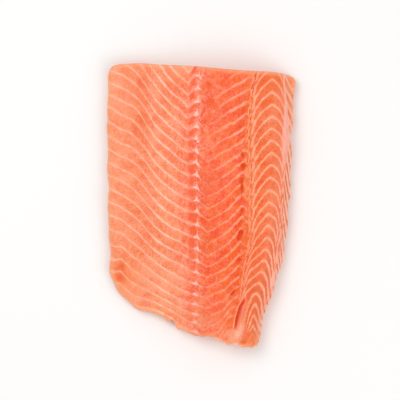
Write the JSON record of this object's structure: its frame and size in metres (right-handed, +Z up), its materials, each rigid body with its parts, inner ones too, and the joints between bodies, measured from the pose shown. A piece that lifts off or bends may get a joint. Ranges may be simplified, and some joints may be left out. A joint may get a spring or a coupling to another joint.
{
  "type": "salmon fillet",
  "caption": "Raw skinned salmon fillet with a straight cut end and a ragged collar end, a thin belly and a thick back, with flake relief, pin-bone holes and a slit.",
  "frame": {"origin": "middle of the fillet's length and width, on the flat underside that it rests on", "axes": "+Y along the fillet towards its straight cut end, +X towards the thick back, +Z up out of the cut side"},
  "size_m": [0.1706, 0.2564, 0.0325],
  "materials": {
    "salmon_flesh": "moist raw orange-pink flesh with a soft wet gloss, crossed by thin pale fat lines"
  },
  "bodies": {
    "root": {"salmon_fillet": "salmon_flesh"}
  },
  "joints": []
}
